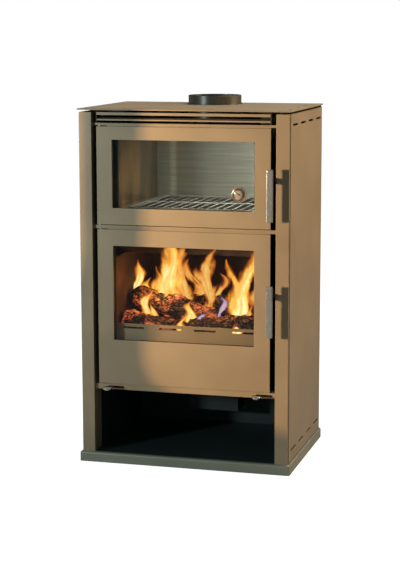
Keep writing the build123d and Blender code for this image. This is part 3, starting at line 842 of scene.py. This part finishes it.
SCREW_X = 0.2305
SCREW_HEIGHTS = {"upper_door": (0.740, 0.826, 0.912), "lower_door": (0.372, 0.490, 0.608)}
for body, heights in SCREW_HEIGHTS.items():
    for side, x in (("left", -SCREW_X), ("right", SCREW_X)):
        for number, z in enumerate(heights):
            screw(f"{body}_screw_{side}_{number}", x, z, body)
print("screws in each door frame:", 2 * len(SCREW_HEIGHTS["upper_door"]))

# %% [markdown]
# ## Floor
# The stove stands on a pale floor under a white sky. Both look white to the camera but light the stove only
# weakly, so the steel keeps its contrast. Light Path tells a camera ray from every other ray.


# %% Floor
def studio_floor(reach=30.0):
    """Flat square of floor."""
    x, y = np.meshgrid([-reach, reach], [-reach, reach])
    return surface("studio_floor", np.stack([x, y, 0 * x], axis=-1))


floor = studio_floor()
floor_finish = wear("pale_floor", (0.34, 0.34, 0.34), (0.37, 0.37, 0.37), (0.7, 0.8), 0.0, 3)
floor_tree = floor_finish.node_tree
floor_shader = floor_tree.nodes["Principled BSDF"]
seen = add(floor_tree, "LightPath").outputs["Is Camera Ray"]
floor_tree.links.new(spread(floor_tree, seen, 0.0, 0.97), floor_shader.inputs["Emission Strength"])
floor_shader.inputs["Emission Color"].default_value = (1, 1, 1, 1)
floor.data.materials.append(floor_finish)
print("floor ready")

# %% [markdown]
# ## Lamps
# One small warm lamp from the front left draws crisp shadows behind the handles. Large soft lamps light the
# right side and the top. A lamp hidden under the oven's roof shows the rack, and two points of orange light
# among the logs stand for the glow of the fire.


# %% Lamps
def hang(name, light, place_at):
    """Puts a light at its place, out of the camera's sight."""
    holder = bpy.data.objects.new(name, light)
    holder.location = place_at
    holder.visible_camera = False
    bpy.context.scene.collection.objects.link(holder)
    return holder


def lamp(name, place_at, aim, size, power, colour, opening=180):
    """Soft rectangle of light that faces its aim; opening is the angle of its beam in degrees."""
    light = bpy.data.lights.new(name, "AREA")
    light.shape, light.size, light.size_y = "RECTANGLE", size[0], size[1]
    light.energy, light.color, light.spread = power, colour, math.radians(opening)
    holder = hang(name, light, place_at)
    holder.rotation_euler = (Vector(aim) - Vector(place_at)).to_track_quat("-Z", "Y").to_euler()
    return holder


MIDDLE = (0.0, 0.0, 0.55)        # middle of the stove
KEY = (-2.45, -3.33, 1.07)
WARM, PALE, FIRELIGHT = (1.0, 0.74, 0.46), (1.0, 0.95, 0.84), (1.0, 0.42, 0.12)
lamp("key", KEY, MIDDLE, (0.30, 0.30), 18.5, (1.0, 0.78, 0.54), 60)
lamp("right_softbox", (3.6, 0.85, 2.1), (0.3, 0.0, 1.08), (1.6, 1.6), 6.4, WARM, 28)
lamp("top_softbox", (1.1, 0.8, 3.3), MIDDLE, (2.0, 1.6), 66, PALE)
oven_fill = lamp("oven_fill", (0.09, FRONT + 0.16, 0.922), (0.07, FRONT + 0.26, 0.72), (0.22, 0.16), 2.5,
                 (1.0, 0.97, 0.86))
oven_fill.visible_glossy = False
for number, (x, depth, z, power) in enumerate(((-0.10, 0.10, 0.50, 1.1), (0.09, 0.08, 0.47, 0.8))):
    glow = bpy.data.lights.new(f"fire_glow_{number}", "POINT")
    glow.energy, glow.color, glow.shadow_soft_size = power, FIRELIGHT, 0.04
    hang(glow.name, glow, (x, FRONT + depth, z)).visible_glossy = False
print("lamps ready")

# %% [markdown]
# ## Gel
# A photographer cools part of a warm light with a blue sheet. This one hangs between the key and the stove,
# close to the stove's front, so its edge falls there as a soft line. It is shaped on the front plane first,
# as a strip that widens towards the floor, and then carried towards the lamp. Only light that comes straight
# from a lamp meets it; to the camera, to mirrors and to bounced light it isn't there.


# %% Gel
def widening(z, edge, more, height, softness):
    """An edge that moves by more below a height, as a smooth step down the Z axis."""
    return edge + more / (1 + np.exp((z - height) / softness))


def gel(share=0.13, rows=60):
    """Sheet between two edges on the front plane, carried a share of the way from there to the lamp."""
    z = np.linspace(-0.1, 1.15, rows)
    right = widening(z, -0.115, 0.75, 0.125, 0.035)
    left = widening(z, -0.302, -0.45, 0.40, 0.04)
    edges = np.stack([left, right], axis=-1)
    target = np.stack([edges, np.full((rows, 2), FRONT), np.stack([z, z], axis=-1)], axis=-1)
    piece = surface("key_gel", target + share * (np.array(KEY) - target))
    sheet, tree = bare("gel")
    to_surface(tree, add(tree, "BsdfTransparent", Color=(0.25, 0.40, 0.62, 1)))
    piece.data.materials.append(sheet)
    piece.visible_camera = piece.visible_glossy = piece.visible_diffuse = piece.visible_transmission = False
    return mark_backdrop(piece)


gel()
print("gel ready")

# %% [markdown]
# ## Sky
# The world is white where the camera sees it and a weak cool light for everything else.

# %% Sky
world = bpy.data.worlds.new("studio")
world.use_nodes = True
air = world.node_tree
sky = air.nodes["Background"]
seen = add(air, "LightPath").outputs["Is Camera Ray"]
air.links.new(ramp(air, seen, (0.0, (0.54, 0.82, 1.0)), (1.0, (1, 1, 1))), sky.inputs["Color"])
air.links.new(spread(air, seen, 0.15, 1.0), sky.inputs["Strength"])
bpy.context.scene.world = world
bpy.context.scene.view_settings.view_transform = "Standard"
print("sky ready")

# %% [markdown]
# ## Camera
# The camera stands in front of the stove and to its right, a little above it, with a long lens, and looks
# slightly down. A long lens from far away keeps the upright edges nearly parallel.

# %% Camera
camera = bpy.data.objects.new("camera", bpy.data.cameras.new("camera"))
camera.data.lens = 99.72
camera.data.clip_end = 60
to_left, tilt, roll = math.radians(15.603), math.radians(90 - 9.269), math.radians(-0.117)
camera.matrix_world = (Matrix.Translation((1.20825, -4.36434, 1.2281)) @ Matrix.Rotation(to_left, 4, "Z")
                       @ Matrix.Rotation(tilt, 4, "X") @ Matrix.Rotation(roll, 4, "Z"))
bpy.context.scene.collection.objects.link(camera)
bpy.context.scene.camera = camera
print("camera lens:", camera.data.lens, "mm")
